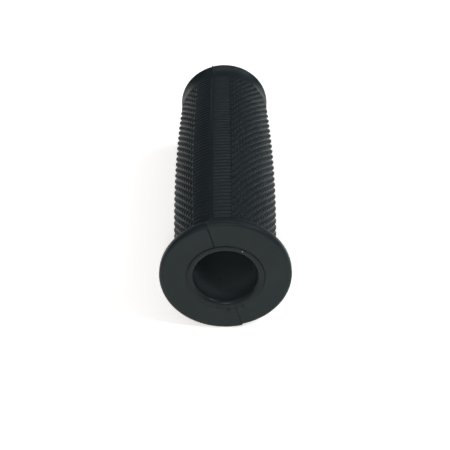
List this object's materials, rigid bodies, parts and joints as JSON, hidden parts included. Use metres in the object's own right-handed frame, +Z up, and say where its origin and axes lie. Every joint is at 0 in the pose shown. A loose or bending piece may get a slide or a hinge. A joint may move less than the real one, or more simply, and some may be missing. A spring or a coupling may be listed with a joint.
{
  "type": "throttle grip",
  "caption": "Moulded rubber handlebar throttle grip with a wide flange, ribbed and diamond-knurled barrel, closed outer end, and a rigid inner sleeve.",
  "frame": {"origin": "centre of the handlebar bore where its straight wall starts, 1.45 mm inside the flange face", "axes": "+Y along the grip's axis from the flange to the closed outer end, +Z up, +X to the right seen from the mouth"},
  "size_m": [0.0462, 0.1208, 0.0462],
  "materials": {
    "rubber": "satin black moulded rubber",
    "sleeve_plastic": "satin black moulded plastic"
  },
  "bodies": {
    "root": {"grip_rubber": "rubber", "throttle_sleeve": "sleeve_plastic"}
  },
  "joints": []
}
